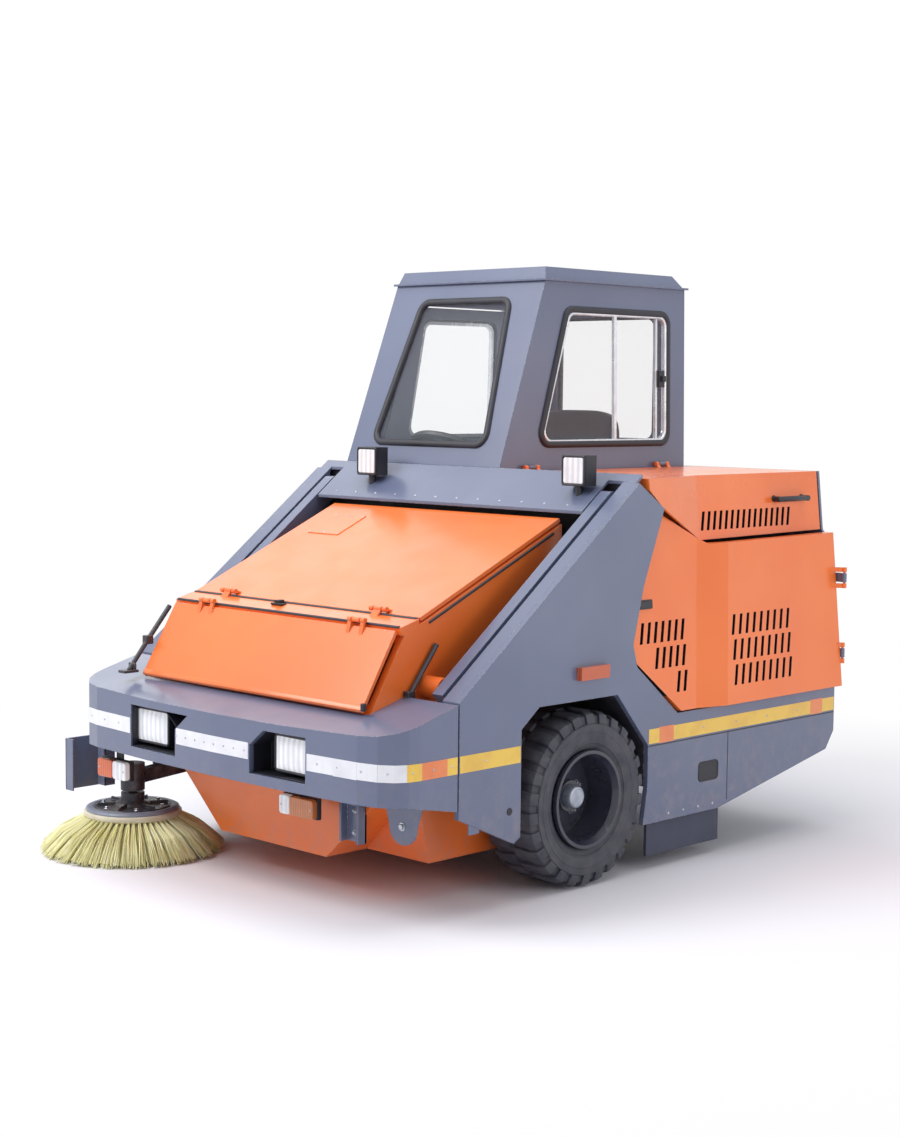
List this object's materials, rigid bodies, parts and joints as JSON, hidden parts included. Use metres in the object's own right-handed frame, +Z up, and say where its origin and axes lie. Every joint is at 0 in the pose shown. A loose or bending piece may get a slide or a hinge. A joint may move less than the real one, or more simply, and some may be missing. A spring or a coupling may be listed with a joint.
{
  "type": "compact road sweeper",
  "caption": "Ride-on road sweeper with an offset cab, a front hopper that lifts high on two arms, a side brush, a main brush reel and a steered rear wheel.",
  "frame": {"origin": "on the floor, at the middle of the machine's bounding box", "axes": "+X to the machine's left, +Y to its rear, +Z up"},
  "size_m": [1.948, 2.647, 2.2048],
  "materials": {
    "orange_panel": "gloss",
    "grey_panel": "satin",
    "orange_shell": "gloss",
    "dark_frame": "satin",
    "black_plastic": "matt",
    "rubber": "matt",
    "tyre": "matt",
    "rim": "satin",
    "glass": "clear",
    "seat_cloth": "woven",
    "lamp": "clear",
    "amber": "clear",
    "bristle": "matt",
    "iron": "rough"
  },
  "bodies": {
    "machine": {"side_panel_left": "grey_panel", "side_panel_right": "grey_panel", "wing_left": "grey_panel", "wing_right": "grey_panel", "wheel_liners": "grey_panel", "cowl": "grey_panel", "bulkhead": "dark_frame", "chassis_frame": "dark_frame", "front_axle": "iron", "cab_shell": "grey_panel", "cab_glass": "glass", "cab_roof": "grey_panel", "cab_floor": "dark_frame", "driver_seat": "seat_cloth", "dashboard": "black_plastic", "tail_panel": "grey_panel", "tail_lamps": "amber", "side_decks": "grey_panel", "engine_block": "iron", "brush_carrier": "dark_frame", "brush_pivot": "dark_frame", "work_lamps": "black_plastic", "marker_lamps": "amber", "brush_skirts": "rubber"},
    "lift": {"lift_arms": "grey_panel"},
    "hopper": {"hopper_tub": "orange_panel", "bumper": "grey_panel", "front_lamps": "lamp"},
    "lid": {"hopper_lid": "orange_panel"},
    "dump": {"dump_door": "orange_panel"},
    "hood": {"engine_hood": "orange_shell"},
    "engine_side_door": {"engine_door": "orange_panel"},
    "driver_door": {"cab_door": "grey_panel", "cab_door_glass": "glass"},
    "front_left_wheel": {"tyre_front_left": "tyre", "rim_front_left": "rim"},
    "front_right_wheel": {"tyre_front_right": "tyre", "rim_front_right": "rim"},
    "steering_fork": {"rear_fork": "dark_frame"},
    "rear_wheel": {"tyre_rear": "tyre", "rim_rear": "rim"},
    "reel": {"main_brush": "bristle"},
    "brush_arm": {"side_brush_arm": "dark_frame"},
    "disc_brush": {"side_brush": "bristle"},
    "helm": {"steering_wheel": "black_plastic"}
  },
  "joints": [
    {"name": "lift_raise", "type": "hinge", "parent": "machine", "child": "lift", "pos_m": [0.075, 0.0375, 1.33671], "axis": [-1, 0, 0], "range_deg": [0, 57]},
    {"name": "hopper_level", "type": "hinge", "parent": "lift", "child": "hopper", "pos_m": [0.075, -0.7445, 0.73792], "axis": [-1, 0, 0], "range_deg": [-57, 0]},
    {"name": "lid_open", "type": "hinge", "parent": "hopper", "child": "lid", "pos_m": [0.075, -0.7665, 0.981], "axis": [1, 0, 0], "range_deg": [0, 60]},
    {"name": "dump_open", "type": "hinge", "parent": "hopper", "child": "dump", "pos_m": [0.075, -0.8665, 0.951], "axis": [-1, 0, 0], "range_deg": [0, 75]},
    {"name": "hood_open", "type": "hinge", "parent": "machine", "child": "hood", "pos_m": [0.22, 0.6755, 1.432], "axis": [0, -1, 0], "range_deg": [0, 70]},
    {"name": "engine_door_open", "type": "hinge", "parent": "machine", "child": "engine_side_door", "pos_m": [0.965, 1.3115, 0.85], "axis": [0, 0, 1], "range_deg": [0, 100]},
    {"name": "cab_door_open", "type": "hinge", "parent": "machine", "child": "driver_door", "pos_m": [-0.658, 1.0225, 1.05], "axis": [0, 0, -1], "range_deg": [0, 100]},
    {"name": "front_left_spin", "type": "hinge", "parent": "machine", "child": "front_left_wheel", "pos_m": [0.81, -0.1785, 0.31], "axis": [1, 0, 0], "continuous": true},
    {"name": "front_right_spin", "type": "hinge", "parent": "machine", "child": "front_right_wheel", "pos_m": [-0.66, -0.1785, 0.31], "axis": [1, 0, 0], "continuous": true},
    {"name": "rear_steer", "type": "hinge", "parent": "machine", "child": "steering_fork", "pos_m": [0.075, 0.8255, 0.5], "axis": [0, 0, 1], "range_deg": [-65, 65]},
    {"name": "rear_spin", "type": "hinge", "parent": "steering_fork", "child": "rear_wheel", "pos_m": [0.075, 0.8255, 0.225], "axis": [1, 0, 0], "continuous": true},
    {"name": "reel_spin", "type": "hinge", "parent": "machine", "child": "reel", "pos_m": [0.075, 0.3555, 0.15], "axis": [1, 0, 0], "continuous": true},
    {"name": "brush_arm_raise", "type": "hinge", "parent": "machine", "child": "brush_arm", "pos_m": [-0.629, -0.5745, 0.3], "axis": [-1, 0, 0], "range_deg": [0, 8]},
    {"name": "disc_brush_spin", "type": "hinge", "parent": "brush_arm", "child": "disc_brush", "pos_m": [-0.629, -0.9785, 0.16], "axis": [0, 0, 1], "continuous": true},
    {"name": "helm_turn", "type": "hinge", "parent": "machine", "child": "helm", "pos_m": [-0.275, 0.3605, 1.479], "axis": [0, 0.4226, 0.9063], "continuous": true}
  ],
  "couplings": [
    {"joint": "hopper_level", "follows": "lift_raise", "ratio": -1}
  ]
}
